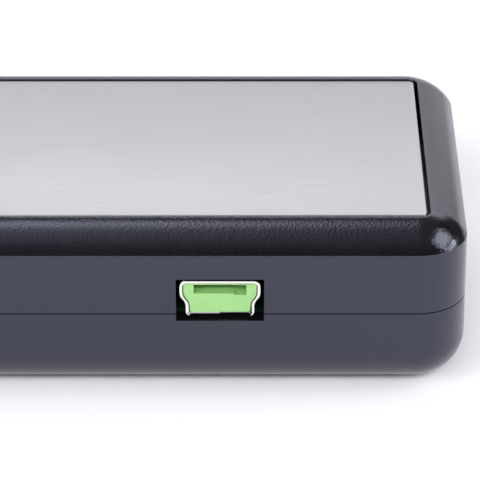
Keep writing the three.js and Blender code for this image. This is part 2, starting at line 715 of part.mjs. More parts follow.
function buildPort() {
  const port = new THREE.Group();
  port.position.set(portX, portMouthY, portZ);
  const shell = cut(
    upright(portOutline(portSheet), 0, shellLength),
    [upright(portOutline(0), -1, shellLength + 1)],
  );
  place(port, 'usb_shell', shell, platedSteel());

  // The moulding fills the shell, with a slot that carries five contacts.
  const slotHalf = portSlotLength / 2;
  const slotTop = portTall / 2 - portSlotTop;
  const slotBottom = slotTop - portSlotHeight;
  const notchLeft = slotHalf - portNotchLength;
  const notch = block(notchLeft, slotHalf, -1, 2, slotBottom - portNotchStep, slotTop);
  const slot = block(-slotHalf, slotHalf, -1, shellLength + 1, slotBottom, slotTop);
  const moulding = cut(upright(portOutline(-seat), 0.4, shellLength - 0.2), [slot, notch]);
  place(port, 'usb_insulator', moulding, finish(0xa9dc8e, 0.45));

  const contactZ = slotBottom + seat;
  const contact = join([
    block(-0.2, 0.2, 2.4, shellLength + 0.5, contactZ, contactZ + 0.2),
    block(-0.2, 0.2, shellLength + 0.3, shellLength + 0.5, portBoardTop + seat - portZ, contactZ + 0.2),
  ]);
  for (let i = 0; i < 5; i += 1) {
    place(port, `usb_contact_${i + 1}`, contact, finish(0xd8b25a, 0.3, 1), (i - 2) * 0.8, 0, 0);
  }

  const board = slab(
    -portBoardHalf, portBoardHalf, portBoardFront - portMouthY, portBoardBack - portMouthY,
    0.6, 0, portBoardThickness, 2,
  );
  const screwPlace = portScrewY - portMouthY;
  const drill = [-1, 1].map((side) => (
    disc(side * portScrewX, screwPlace, boardScrew.shank + gap, -1, portBoardThickness + 1, 12)
  ));
  const boardZ = portBoardBottom - portZ;
  place(port, 'usb_board', cut(board, drill), greenBoard(), 0, 0, boardZ);
  const regulator = slab(-1.5, 1.5, -1.5, 1.5, 0.3, -1, 0, 1);
  place(port, 'regulator_chip', regulator, chipBlack(), 0, screwPlace, boardZ - seat);
  const { head, height, shank } = boardScrew;
  const fastener = screw(head, height, shank, portScrewLength);
  [-1, 1].forEach((side, i) => {
    const z = boardZ + portBoardThickness + seat;
    const mesh = place(
      port, `usb_board_screw_${i + 1}`, fastener, darkSteel(), side * portScrewX, screwPlace, z,
    );
    mesh.rotation.x = Math.PI;
  });
  return port;
}

// ---------------------------------------------------------------- battery, cap and wires
function buildPower() {
  const power = new THREE.Group();
  power.position.x = capX;
  const rimTop = footHeight + capThickness + capRimHeight;
  const grooveInner = capRadius - sealRadius * 2.4;
  const grooveBottom = footHeight + 0.4;
  const grooveTop = grooveBottom + 2 * sealRadius + 2 * seat;
  let cap = turned([
    [0, footHeight], [capRadius - 0.2, footHeight], [capRadius, footHeight + 0.2],
    [capRadius, grooveBottom], [grooveInner, grooveBottom], [grooveInner, grooveTop],
    [capRadius, grooveTop], [capRadius, rimTop],
    [cellRadius + gap, rimTop], [cellRadius + gap, footHeight + capThickness],
    [0, footHeight + capThickness],
  ], 40);
  for (const turn of [0, 180]) {
    const wedge = sector(turn, lugAngle, lugRadius, lugBottom, lugBottom + lugHeight);
    cap = cap.add(wedge.subtract(disc(0, 0, capRadius - 0.4, 0, caseTop, 40)));
  }
  const [slotX, slotY] = [coinSlotLength / 2, coinSlotWidth / 2];
  const coinSlot = block(-slotX, slotX, -slotY, slotY, 0, footHeight + coinSlotDepth);
  place(power, 'battery_cap', cut(cap, [coinSlot]), blackAbs());

  const sealCentre = grooveInner + seat + sealRadius;
  const sides = 6;
  const ringPoints = Array.from({ length: sides }, (_, i) => {
    const angle = (i / sides) * 2 * Math.PI;
    return [sealCentre + sealRadius * Math.cos(angle), sealRadius * Math.sin(angle)];
  });
  const sealZ = (grooveBottom + grooveTop) / 2;
  place(power, 'battery_cap_seal', turned(ringPoints, 32), rubber(), 0, 0, sealZ);

  const rounding = 0.3;
  const cell = turned([
    [0, 0], [cellRadius - 1.4, 0], [cellRadius - 1.2, 0.2], [cellRadius - rounding, 0.3],
    [cellRadius, 0.3 + rounding], [cellRadius, cellHeight - rounding],
    [cellRadius - rounding, cellHeight], [0, cellHeight],
  ], 32);
  place(power, 'coin_cell', cell, platedSteel(), 0, 0, cellBottom);

  // Sprung strip that presses on the top of the cell.
  const [low, high, sheet] = [cellTop + seat, boardBottom - seat, 0.3];
  const strip = new THREE.Shape([
    [-7, high], [-7, high - sheet], [-5, high - sheet], [-1.2, low], [1.2, low],
    [5, high - sheet], [7, high - sheet], [7, high], [4.8, high],
    [1, low + sheet], [-1, low + sheet], [-4.8, high],
  ].map(([x, z]) => new THREE.Vector2(x, z)));
  place(power, 'contact_centre', upright(strip, -2, 2), finish(0xcdb98a, 0.3, 1));

  // Strip that stands against the side of the cell, just above the rim of the cap.
  const side = cellRadius + seat;
  const bracket = join([
    block(side, side + sheet, -2.5, 2.5, Math.max(rimTop, lugBottom + lugHeight) + gap, high),
    block(side, side + 3, -2.5, 2.5, high - sheet, high),
  ]);
  place(power, 'contact_side', bracket, finish(0xcdb98a, 0.3, 1));
  return power;
}

function buildWires() {
  const wires = new THREE.Group();
  const boardEnd = boardRight + gap;
  const boardMiddle = (boardTop + boardBottom) / 2;
  const radius = 0.5;
  const sideY = beamWidth / 2 + gap + radius;
  const beamMiddle = (beamBottom + beamTop) / 2;
  const cellWires = bundle([
    [platformX - flexureSpacing, sideY, beamMiddle],
    [platformX - beamHoleInner, sideY, beamMiddle],
    [beamLeft + 1, sideY, beamMiddle],
    [beamLeft - 4, sideY - 0.8, boardMiddle],
    [boardEnd, sideY - 2.2, boardMiddle],
  ], radius, 24);
  place(wires, 'load_cell_wires', cellWires, finish(0xd8d8d8, 0.5));
  const portMiddle = portBoardBottom + portBoardThickness / 2;
  const wireY = (portBoardFront + portBoardBack) / 2;
  const usbWires = bundle([
    [portX - portBoardHalf - gap, wireY, portMiddle],
    [portX - portBoardHalf - 4, wireY, portMiddle],
    [platformX - 12, wireY + 1, portMiddle - 1],
    [boardEnd + 8, wireY + 2, boardMiddle - 0.4],
    [boardEnd + 3, wireY + 2, boardMiddle],
    [boardEnd, wireY + 2, boardMiddle],
  ], radius, 24);
  place(wires, 'usb_wires', usbWires, finish(0x9c2b25, 0.5));
  return wires;
}

scale.add(
  buildHousing(), buildWeighing(), buildDisplay(), buildControls(),
  buildPort(), buildPower(), buildWires(),
);

export default scale;
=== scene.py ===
# %% [markdown]
# # A pocket gram scale
# The scale is a shallow black box in two moulded halves. A flush steel platform fills most of its
# top, a display and three keys fill the rest, and a mini USB port looks out of one long side.
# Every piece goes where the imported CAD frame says. Lengths here are in millimetres, and MM turns
# them into metres at the moment an operator needs them.

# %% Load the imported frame
import json
import math

import bmesh
import bpy
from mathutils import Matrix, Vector


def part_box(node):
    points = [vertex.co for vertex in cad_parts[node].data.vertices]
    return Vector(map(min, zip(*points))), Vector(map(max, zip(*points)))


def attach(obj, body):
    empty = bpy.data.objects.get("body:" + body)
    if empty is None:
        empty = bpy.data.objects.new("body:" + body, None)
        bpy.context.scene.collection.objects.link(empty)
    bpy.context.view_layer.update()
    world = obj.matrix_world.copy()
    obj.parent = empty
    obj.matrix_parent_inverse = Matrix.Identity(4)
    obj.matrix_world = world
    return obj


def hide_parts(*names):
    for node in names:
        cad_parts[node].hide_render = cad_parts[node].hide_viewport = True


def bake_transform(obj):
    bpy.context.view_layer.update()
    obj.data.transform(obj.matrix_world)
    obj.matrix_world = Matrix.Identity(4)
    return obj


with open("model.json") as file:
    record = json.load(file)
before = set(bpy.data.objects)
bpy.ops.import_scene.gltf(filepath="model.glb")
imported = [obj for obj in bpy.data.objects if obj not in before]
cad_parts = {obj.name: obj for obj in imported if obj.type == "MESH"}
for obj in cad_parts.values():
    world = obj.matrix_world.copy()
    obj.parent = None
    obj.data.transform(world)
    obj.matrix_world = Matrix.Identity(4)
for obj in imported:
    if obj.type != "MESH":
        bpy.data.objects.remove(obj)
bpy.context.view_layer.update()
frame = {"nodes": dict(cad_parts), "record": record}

MM = 0.001


def node_box(node):
    """Lowest and highest corner of a CAD node, in millimetres."""
    low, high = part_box(node)
    return low / MM, high / MM


def node_centre(node):
    """Middle of a CAD node's box, in millimetres."""
    low, high = node_box(node)
    return (low + high) / 2


# %% [markdown]
# ## Working by hand, in code
# An operator acts on whatever is selected, and the CAD nodes arrive selected. So each step first
# selects one object alone, opens edit mode with nothing picked, and then picks faces or edges by
# where they are or which way they face. These few helpers are all the mesh steps need.

# %% Selecting and editing
def only(piece):
    """Makes this object the only selected one."""
    bpy.ops.object.select_all(action="DESELECT")
    piece.select_set(True)
    bpy.context.view_layer.objects.active = piece


def edit(piece, kind, test):
    """Opens edit mode and picks the "VERT", "EDGE" or "FACE" parts that pass the test."""
    only(piece)
    bpy.ops.object.mode_set(mode="EDIT")
    bpy.ops.mesh.select_mode(type=kind)
    bpy.ops.mesh.select_all(action="DESELECT")
    mesh = bmesh.from_edit_mesh(piece.data)
    for part in {"VERT": mesh.verts, "EDGE": mesh.edges, "FACE": mesh.faces}[kind]:
        if test(part):
            part.select_set(True)
    mesh.select_flush_mode()
    bmesh.update_edit_mesh(piece.data)


def leave():
    """Back to object mode."""
    bpy.ops.object.mode_set(mode="OBJECT")


def settle(name):
    """Applies the new primitive's place and size to its mesh, and names it."""
    bpy.ops.object.transform_apply(location=True, rotation=True, scale=True)
    piece = bpy.context.object
    piece.name = piece.data.name = name
    return piece


def middle(part):
    """Middle of an edge or a face, in millimetres."""
    points = [vertex.co for vertex in part.verts]
    return sum(points, Vector()) / len(points) / MM


def runs_along(edge, axis):
    """True for an edge that is parallel to the axis 0, 1 or 2."""
    step = (edge.verts[1].co - edge.verts[0].co).normalized()
    return abs(step[axis]) > 0.999


def over(z):
    """A test that passes the edges above a height in millimetres."""
    return lambda edge: all(vertex.co.z / MM > z for vertex in edge.verts)


def under(z):
    """A test that passes the edges below a height in millimetres."""
    return lambda edge: all(vertex.co.z / MM < z for vertex in edge.verts)


def soften(piece, test, width, segments=3):
    """Rounds the edges that pass the test."""
    edit(piece, "EDGE", test)
    bpy.ops.mesh.bevel(offset=width * MM, segments=segments, affect="EDGES", profile=0.5)
    leave()


def add_block(name, low, high, corner=0, segments=8, axis=2):
    """A cube at its size and place, whose edges along one axis are rounded."""
    low, high = Vector(low), Vector(high)
    bpy.ops.mesh.primitive_cube_add(size=1, location=(low + high) / 2 * MM, scale=(high - low) * MM)
    piece = settle(name)
    if corner:
        soften(piece, lambda edge: runs_along(edge, axis), corner, segments)
    return piece


def add_drum(name, x, y, radius, z0, z1, vertices=48):
    """An upright cylinder at its size and place."""
    place = Vector((x, y, (z0 + z1) / 2)) * MM
    bpy.ops.mesh.primitive_cylinder_add(
        vertices=vertices, radius=radius * MM, depth=(z1 - z0) * MM, location=place
    )
    return settle(name)


def combine(piece, tool, operation="DIFFERENCE"):
    """Cuts the tool out of the piece, or joins it on, and throws the tool away."""
    only(piece)
    modifier = piece.modifiers.new("combine", "BOOLEAN")
    modifier.object = tool
    modifier.operation = operation
    modifier.solver = "EXACT"
    bpy.ops.object.modifier_apply(modifier=modifier.name)
    bpy.data.objects.remove(tool, do_unlink=True)


def tidy_flats(piece):
    """Dissolves the edges that lie inside a flat face."""
    edit(piece, "FACE", lambda face: True)
    bpy.ops.mesh.dissolve_limited(angle_limit=math.radians(0.2))
    leave()


def merge(name, parts):
    """Joins several objects into one mesh."""
    bpy.ops.object.select_all(action="DESELECT")
    for part in parts:
        part.select_set(True)
    bpy.context.view_layer.objects.active = parts[0]
    bpy.ops.object.join()
    parts[0].name = parts[0].data.name = name
    return parts[0]


def curl(piece, side, radius, start, end, steps):
    """Insets the flat top (side 1) or bottom (side -1) in small steps along an arc.

    The arc's slope goes from start to end, in degrees: 60 to 0 makes a domed rim, and 0 to 90
    makes the flared mouth of a cutter that leaves a rounded lip.
    """
    edit(piece, "FACE", lambda face: face.normal.z * side > 0.99)
    angles = [math.radians(start + (end - start) * step / steps) for step in range(steps + 1)]
    for before, after in zip(angles, angles[1:]):
        inward = radius * abs(math.sin(after) - math.sin(before))
        outward = radius * abs(math.cos(after) - math.cos(before))
        bpy.ops.mesh.inset(thickness=inward * MM, depth=outward * MM)
    leave()


def add_mouth(name, low, high, corner, lip, rim_z):
    """A cutter from low to high whose upper part flares, to leave a rounded lip at rim_z."""
    grow = Vector((lip, lip, 0))
    base = Vector((low[0], low[1], rim_z)) - grow
    tool = add_block(name, base, Vector(high) + grow, corner + lip)
    curl(tool, -1, lip, 0, 90, 4)
    edit(tool, "FACE", lambda face: face.normal.z < -0.99)
    drop = low[2] - (rim_z - lip)
    bpy.ops.mesh.extrude_region_move(TRANSFORM_OT_translate={"value": (0, 0, drop * MM)})
    leave()
    return tool


def copy_to(piece, name, shift):
    """A copy with its own mesh, moved by shift millimetres."""
    only(piece)
    bpy.ops.object.duplicate()
    bpy.context.object.location = shift * MM
    return settle(name)


def smooth(piece, angle=32):
    """Smooth shading over the curves, with the sharper edges kept."""
    only(piece)
    bpy.ops.object.shade_smooth_by_angle(angle=math.radians(angle))


def report(piece):
    """Prints what was made, and where."""
    corners = [vertex.co for vertex in piece.data.vertices]
    low = [round(min(c[i] for c in corners) / MM, 2) for i in range(3)]
    high = [round(max(c[i] for c in corners) / MM, 2) for i in range(3)]
    print(f"{piece.name}: {len(piece.data.polygons)} faces, from {low} to {high} mm")


# %% [markdown]
# ## Sizes that several pieces share
# The case's outside, the seam between its halves, the platform's opening, the port, the window and
# the keys all come from the CAD nodes. The radii are those of the moulded case. An edge test needs
# a little room beside the exact height, which is HAIR.

# %% Shared sizes
case_low, _ = node_box("lower_case")
seam_low, case_high = node_box("upper_case")
plate_low, plate_high = node_box("platform_plate")
SEAM_GAP = 0.1  # what shows of the parting line
WALL = 1.6
CORNER = 4.7
DOME_SLOPE = 60  # slope of the domed rim at its crease
DOME_END = 11.5  # slope at which it meets the narrow flat land round the platform
DOME_RISE = 2.3
DOME_RADIUS = DOME_RISE / (math.cos(math.radians(DOME_END)) - math.cos(math.radians(DOME_SLOPE)))
BOTTOM_ROUND = 4.4
CLEARANCE = 0.3
SEAT = 0.1
HAIR = 0.001
seam_z = seam_low.z - SEAM_GAP
inner_x = case_high.x - WALL
inner_y = case_high.y - WALL
FLOOR_TOP = case_low.z + 2
port_low, port_high = node_box("usb_shell")
port_x = (port_low.x + port_high.x) / 2
PORT_HALF = 4.05
PORT_BOTTOM = seam_z - 0.73
PORT_TOP = seam_z + 3.6
print("seam at", round(seam_z, 2), "mm, port at x", round(port_x, 2), "mm")

# %% [markdown]
# ## Upper case
# On the real scale this half is one moulding: four straight walls, a domed rim that starts with a
# crisp crease, and a flat top with a deep opening for the platform. A box with rounded upright
# edges is the right start, because insetting its top face in small steps along an arc gives the
# dome and keeps the same rounded outline all the way in. The openings are cut afterwards.

# %% Upper case: outside
crease_z = case_high.z - DOME_RISE
upper = add_block(
    "case_top_shell",
    (-case_high.x, -case_high.y, seam_z + SEAM_GAP / 2),
    (case_high.x, case_high.y, crease_z),
    CORNER, 24,
)
curl(upper, 1, DOME_RADIUS, DOME_SLOPE, DOME_END, 14)

# %% Upper case: hollow, platform opening and the bay under the display
SKIRT = 1.4
LIP = 0.6
BAY_CORNER = 2
BOSS_ROOM = 0.6  # round the platform's boss, where it comes up through the deck
BEAM_FOOT = 13  # length of the load cell that is screwed down, at either end
opening_left = plate_low.x - CLEARANCE
opening_right = plate_high.x + CLEARANCE
opening_near = plate_low.y - CLEARANCE
opening_far = plate_high.y + CLEARANCE / 3
DECK_TOP = plate_low.z - 2.6  # the tray and its free travel fit between deck and plate
DECK_BOTTOM = DECK_TOP - 1
ROOF_UNDER = case_high.z - 1.6
OPENING_CORNER = 0.9
LIP_ROUND = 0.07
lip_top = node_box("lower_case")[1].z
beam_low, beam_high = node_box("load_cell")


def centred(name, half_x, half_y, z0, z1, corner):
    """A rounded block round the origin."""
    return add_block(name, (-half_x, -half_y, z0), (half_x, half_y, z1), corner)


below = case_low.z - 1
above = case_high.z + 1
rebate = LIP + CLEARANCE
combine(upper, centred("hollow", inner_x, inner_y, below, DECK_BOTTOM, CORNER - WALL))
combine(upper, centred(
    "rebate", inner_x + rebate, inner_y + rebate, below, lip_top + CLEARANCE, CORNER - 0.7,
))
combine(upper, add_block(
    "bay", (-inner_x + SKIRT, -inner_y + SKIRT, below),
    (opening_left - SKIRT, inner_y - SKIRT, ROOF_UNDER), BAY_CORNER,
))
combine(upper, add_mouth(
    "opening", (opening_left, opening_near, DECK_TOP), (opening_right, opening_far, above),
    OPENING_CORNER, LIP_ROUND, case_high.z,
))
boss_left = beam_high.x - BEAM_FOOT
combine(upper, add_block(
    "boss_hole", (boss_left - BOSS_ROOM, beam_low.y - BOSS_ROOM, below),
    (beam_high.x + BOSS_ROOM, beam_high.y + BOSS_ROOM, above), 0.5,
))

# %% Upper case: window pocket, view hole, key holes and port
WINDOW_CORNER = 1
POCKET_LIP = 0.12
GLASS_EDGE_X = 0.4  # how much of the glass the case covers
GLASS_EDGE_Y = 0.8
window_low, window_high = node_box("display_window")
glass_low, glass_high = node_box("lcd_glass")
combine(upper, add_mouth(
    "pocket", window_low - Vector((SEAT, SEAT, SEAT)), window_high + Vector((SEAT, SEAT, 1)),
    WINDOW_CORNER + SEAT, POCKET_LIP, case_high.z,
))
view_low = Vector((glass_low.x + GLASS_EDGE_X, glass_low.y + GLASS_EDGE_Y, below))
view_high = Vector((glass_high.x - GLASS_EDGE_X, glass_high.y - GLASS_EDGE_Y, above))
combine(upper, add_block("view", view_low, view_high, 0.5))

KEYS = ("power", "mode", "tare")
KEY_HALF_X = 3.7
KEY_HALF_Y = 2.6
KEY_CORNER = 1.2
KEY_HOLE_LIP = 0.15
hole_half = Vector((KEY_HALF_X + CLEARANCE, KEY_HALF_Y + CLEARANCE, 4))
for name in KEYS:
    centre = node_centre(f"key_{name}")
    combine(upper, add_mouth(
        "key_hole", centre - hole_half, centre + hole_half,
        KEY_CORNER + CLEARANCE, KEY_HOLE_LIP, case_high.z,
    ))


def port_cutter():
    return add_block(
        "port_cutter", (port_x - PORT_HALF, case_low.y - 1, PORT_BOTTOM),
        (port_x + PORT_HALF, -inner_y + LIP, PORT_TOP), 0.15, 3, axis=1,
    )


combine(upper, port_cutter())

smooth(upper, 26)  # the crease is 30 degrees and has to stay crisp
report(upper)

# %% [markdown]
# ## Lower case
# The lower half is the same rounded box, but its bottom edge is a full round. The arc helper makes
# it too, starting at 90 degrees. A thin lip stands up inside the seam and goes into the upper half.

# %% Lower case: outside, lip and hollow
lower = add_block(
    "case_bottom_shell",
    (-case_high.x, -case_high.y, case_low.z + BOTTOM_ROUND),
    (case_high.x, case_high.y, seam_z - SEAM_GAP / 2),
    CORNER, 24,
)
curl(lower, -1, BOTTOM_ROUND, 90, 0, 14)
combine(lower, centred(
    "lip", inner_x + LIP, inner_y + LIP, seam_z - 2, lip_top, CORNER - WALL + LIP,
), "UNION")
INNER_ROUND = 2.4
hollow = centred("hollow", inner_x, inner_y, FLOOR_TOP + INNER_ROUND, above, CORNER - WALL)
curl(hollow, -1, INNER_ROUND, 90, 0, 6)
combine(lower, hollow)
combine(lower, port_cutter())

# %% [markdown]
# Inside stand four screw posts, the pedestal of the load cell, two posts under the USB board and
# the round well of the battery cap. Under them the floor is bored for the screws, the feet and the
# cap, whose two notches let the bayonet lugs in.

# %% Lower case: posts, pedestal, well and bores
FEET = ("front_right", "back_right", "front_left", "back_left")
POST = 2.6
BOARD_POST = 2
HEAD_BORE = 2.3
CASE_SCREW_BORE = 1.55
BOARD_SCREW_BORE = 1.3
FOOT_POCKET = 0.5
HEAD_DEEP = 1.5
cap_low, cap_high = node_box("battery_cap")
cap_x = node_centre("battery_cap").x
cap_radius = cap_high.y
lug_radius = cap_high.x - cap_x
WELL_WALL = 1.2
WELL_TALL = 3.4
well_radius = lug_radius + 0.6
POST_ROOT = case_low.z + 1
foot_low, foot_high = node_box("foot_front_right")
foot_radius = (foot_high.x - foot_low.x) / 2
usb_board_low, _ = node_box("usb_board")
for name in FEET:
    spot = node_centre(f"foot_{name}")
    post = add_drum("post", spot.x, spot.y, POST, POST_ROOT, seam_z - SEAM_GAP)
    combine(lower, post, "UNION")
for number in (1, 2):
    spot = node_centre(f"usb_board_screw_{number}")
    post = add_drum("post", spot.x, spot.y, BOARD_POST, POST_ROOT, usb_board_low.z - SEAT)
    combine(lower, post, "UNION")
pedestal = add_block(
    "pedestal", (beam_low.x, beam_low.y, POST_ROOT),
    (beam_low.x + BEAM_FOOT, beam_high.y, beam_low.z - SEAT), 0.6,
)
combine(lower, pedestal, "UNION")
well = add_drum("well", cap_x, 0, well_radius + WELL_WALL, POST_ROOT, FLOOR_TOP + WELL_TALL, 96)
combine(well, add_drum("inside", cap_x, 0, well_radius, FLOOR_TOP, above, 96))
combine(lower, well, "UNION")
pocket_top = case_low.z + FOOT_POCKET
for name in FEET:
    spot = node_centre(f"foot_{name}")
    combine(lower, add_drum("pocket", spot.x, spot.y, foot_radius + CLEARANCE, below, pocket_top, 64))
    combine(lower, add_drum("head", spot.x, spot.y, HEAD_BORE, below, pocket_top + HEAD_DEEP))
    combine(lower, add_drum("shank", spot.x, spot.y, CASE_SCREW_BORE, below, above, 32))
for screw, bore in (("usb_board_screw", BOARD_SCREW_BORE), ("cell_base_screw", CASE_SCREW_BORE)):
    for number in (1, 2):
        spot = node_centre(f"{screw}_{number}")
        tip = node_box(f"{screw}_{number}")[0].z
        combine(lower, add_drum("shank", spot.x, spot.y, bore, tip - CLEARANCE, above, 32))
combine(lower, add_drum("cap_hole", cap_x, 0, cap_radius + CLEARANCE, below, FLOOR_TOP + SEAT, 128))
NOTCH_HALF = 5.2
notch_reach = lug_radius + CLEARANCE
for turn in (45, 225):
    notch = add_block("notch", (0, -NOTCH_HALF, below), (notch_reach, NOTCH_HALF, FLOOR_TOP + SEAT))
    notch.rotation_euler.z = math.radians(turn)
    notch.location.x = cap_x * MM
    only(notch)
    settle("notch")
    combine(lower, notch)

# %% Lower case: soft edges under the floor
def on_underside(edge):
    """True on the loops where the bores meet the flat underside."""
    flat = all(abs(vertex.co.z / MM - case_low.z) < 0.005 for vertex in edge.verts)
    walls = [face for face in edge.link_faces if abs(face.normal.z) < 0.05]
    return flat and len(walls) == 1


soften(lower, on_underside, 0.12, 2)
smooth(lower)
report(lower)

# %% [markdown]
# ## Platform plate
# A stamped sheet of steel, 0.6 mm thick, with small rounded corners. Its top edge is broken by a
# fine radius, which is what catches the light along its near side. Smooth shading is allowed up to
# 60 degrees, so the fine radius looks round with few faces.

# %% Platform plate
plate = add_block("steel_platform", plate_low, plate_high, 0.6, 8)
PLATE_EDGE = 0.12
soften(plate, over(plate_high.z - HAIR), PLATE_EDGE, 4)
smooth(plate, 60)
report(plate)

# %% [markdown]
# ## USB port
# The shell is a folded metal sheet: wide above, pinched to a narrower foot below. A box is bisected
# at the shoulder and the waist, its lower loops are drawn in, and the four bends on each side are
# rounded. The moulding inside is the same shape, a little smaller, so one function makes both.

# %% The port's outline as a solid
PORT_WIDE = 6.9
PORT_NARROW = 5.75
PORT_TALL = 3.1
SHEET = 0.3
TOP_BEND = 0.36
FOOT_BEND = 0.3
SIDE_BEND = 0.34
port_z = (port_low.z + port_high.z) / 2
SHOULDER = PORT_TALL / 2 - 1.3
WAIST = SHOULDER - 0.7


def port_solid(name, grow_by, y0, y1):
    """The port's outline grown all round by a distance, from y0 to y1."""
    half_wide = PORT_WIDE / 2 + grow_by
    half_tall = PORT_TALL / 2 + grow_by
    piece = add_block(
        name, (port_x - half_wide, y0, port_z - half_tall), (port_x + half_wide, y1, port_z + half_tall)
    )
    for level in (SHOULDER, WAIST):
        edit(piece, "FACE", lambda face: True)
        bpy.ops.mesh.bisect(
            plane_co=(0, 0, (port_z + level) * MM), plane_no=(0, 0, 1), use_fill=False
        )
        leave()
    edit(piece, "VERT", lambda vertex: vertex.co.z / MM < port_z + WAIST + 0.01)
    narrowed = (PORT_NARROW / 2 + grow_by) / half_wide
    centre = (port_x * MM, 0, port_z * MM)
    bpy.ops.transform.resize(value=(narrowed, 1, 1), center_override=centre)
    leave()

    def at(level):
        return lambda edge: runs_along(edge, 1) and abs(middle(edge).z - port_z - level) < 0.02

    soften(piece, at(half_tall), TOP_BEND + grow_by, 8)
    soften(piece, at(-half_tall), FOOT_BEND + grow_by / 2, 6)
    soften(piece, at(SHOULDER), SIDE_BEND, 8)
    soften(piece, at(WAIST), SIDE_BEND, 8)
    return piece


# %% Shell and moulding
shell = port_solid("usb_metal_shell", SHEET, port_low.y, port_high.y)
combine(shell, port_solid("bore", 0, port_low.y - 1, port_high.y + 1))
tidy_flats(shell)


def borders_front(edge, y):
    """True on the outline of the faces that lie at this y and face -Y."""
    flat = all(abs(vertex.co.y / MM - y) < 0.001 for vertex in edge.verts)
    return flat and any(face.normal.y > -0.5 for face in edge.link_faces)


# The sheet's two ends meet under the port, a little behind the mouth and not quite level.
SHEET_EDGE = 0.07
SHEET_SEAM = 0.1
foot_half = PORT_NARROW / 2 - 0.15
sheet_top = port_low.z + SHEET + 0.02
for side, backset in ((-1, 0.48), (1, 0.62)):
    left, right = sorted((port_x, port_x + side * foot_half))
    combine(shell, add_block(
        "backset", (left, port_low.y - 1, port_low.z - 1), (right, port_low.y + backset, sheet_top),
    ))
combine(shell, add_block(
    "seam", (port_x - SHEET_SEAM / 2, port_low.y - 1, port_low.z - 1),
    (port_x + SHEET_SEAM / 2, port_high.y + 1, sheet_top),
))
soften(shell, lambda edge: borders_front(edge, port_low.y), SHEET_EDGE, 3)
smooth(shell)
report(shell)

# %% Moulding in the port
MOULDING_GAP = 0.08
MOULDING_BACKSET = 0.1
SLOT_HALF = 2.42
SLOT_TALL = 0.9
NOTCH_WIDE = 1.1
NOTCH_DROP = 0.15
NOTCH_DEEP = 1.6
moulding_front = port_low.y + MOULDING_BACKSET
moulding_back = node_box("usb_insulator")[1].y
moulding = port_solid("usb_moulding", -MOULDING_GAP, moulding_front, moulding_back)
tidy_flats(moulding)
slot_top = port_z + PORT_TALL / 2 - 0.17
slot_bottom = slot_top - SLOT_TALL
slot_right = port_x + SLOT_HALF
combine(moulding, add_block(
    "slot", (port_x - SLOT_HALF, moulding_front - 1, slot_bottom),
    (slot_right, moulding_back + 1, slot_top),
))
combine(moulding, add_block(
    "notch", (slot_right - NOTCH_WIDE, moulding_front - 1, slot_bottom - NOTCH_DROP),
    (slot_right, moulding_front + NOTCH_DEEP, slot_top),
))


def on_outline(edge):
    """True on the moulding's outer outline, but not on the slot's."""
    point = middle(edge)
    beside = abs(point.x - port_x) < SLOT_HALF + 0.01
    in_slot = beside and slot_bottom - NOTCH_DROP - 0.05 < point.z < slot_top + 0.01
    return borders_front(edge, moulding_front) and not in_slot


soften(moulding, on_outline, 0.04, 2)
smooth(moulding)
report(moulding)

# %% [markdown]
# ## Window and display
# A clear acrylic window lies flush in its pocket. Under it is the display glass with its dark
# segments: one function makes a bar, and a loop calls it for every place that a digit needs.

# %% Window and glass
INK_ROOM = 0.05  # the glass is this much lower than its node, to leave room for the segments
window = add_block("clear_window", window_low, window_high, WINDOW_CORNER, 8)
soften(window, over(window_high.z - HAIR), POCKET_LIP)
smooth(window, 60)
glass_top = glass_high.z - INK_ROOM
glass = add_block("display_glass", glass_low, (glass_high.x, glass_high.y, glass_top), 0.2, 3)
soften(glass, over(glass_top - HAIR), 0.08, 2)
smooth(glass, 60)
report(window)
report(glass)

# %% Segments of the display
DIGIT_TALL = 6.4
DIGIT_WIDE = 3.4
BAR = 0.62
BAR_GAP = 0.12
BAR_HALF_THICK = 0.02
BAR_DROP = 0.045  # the foot of a segment is in the glass, and its top stands clear of it
bar_z = glass_high.z - BAR_DROP
glass_centre = node_centre("lcd_glass")


def add_bar(x, y, length, upright):
    """One segment: a thin bar with pointed ends."""
    half_x, half_y = (BAR / 2, length / 2) if upright else (length / 2, BAR / 2)
    half = Vector((half_x, half_y, BAR_HALF_THICK))
    centre = Vector((x, y, bar_z))
    bar = add_block("bar", centre - half, centre + half)
    soften(bar, lambda edge: runs_along(edge, 2), BAR / 2 - 0.02, 1)
    return bar


# The reader stands on the +Y side, so the digits face that way: their right is -X, their top -Y.
# The display reads 0.00. Each 0 has six bars, in the order top, upper right, lower right, bottom,
# lower left and upper left, given by the side, the height in quarters and whether it is upright.
QUARTER = DIGIT_TALL / 4
ZERO = [(0, 2, False), (1, 1, True), (1, -1, True), (0, -2, False), (-1, -1, True), (-1, 1, True)]
PITCH = 5.4
READING_SHIFT = 2.4
POINT_RADIUS = 0.4
digits_x = glass_centre.x - READING_SHIFT
bars = []
for shift in (1.5, 0.5, -0.5):
    for side, quarters, upright in ZERO:
        length = (QUARTER * 2 if upright else DIGIT_WIDE) - BAR_GAP * 2
        x = digits_x + shift * PITCH - side * DIGIT_WIDE / 2
        bars.append(add_bar(x, glass_centre.y - quarters * QUARTER, length, upright))
point_y = glass_centre.y + 2 * QUARTER
bars.append(add_drum(
    "bar", digits_x + PITCH, point_y, POINT_RADIUS,
    bar_z - BAR_HALF_THICK, bar_z + BAR_HALF_THICK, 20,
))
segments = merge("display_segments", bars)
report(segments)

# %% [markdown]
# ## Keys
# Each key is a soft-edged cap on a wider flange that keeps it in, with a stem under it that meets
# the switch. It is modelled once and copied. The signs on top are plain: a ring and a bar for the
# power, three bars for the unit, and a ring between two dots for zero.

# %% Key cap
SIGN = 0.05
STEM = 0.6
STEM_RADIUS = 1.7
FLANGE = 0.8
KEY_ROUND = 0.45
key_low, key_high = node_box("key_power")
first = node_centre("key_power")
key_top = key_high.z - SIGN
flange_z = key_low.z + STEM


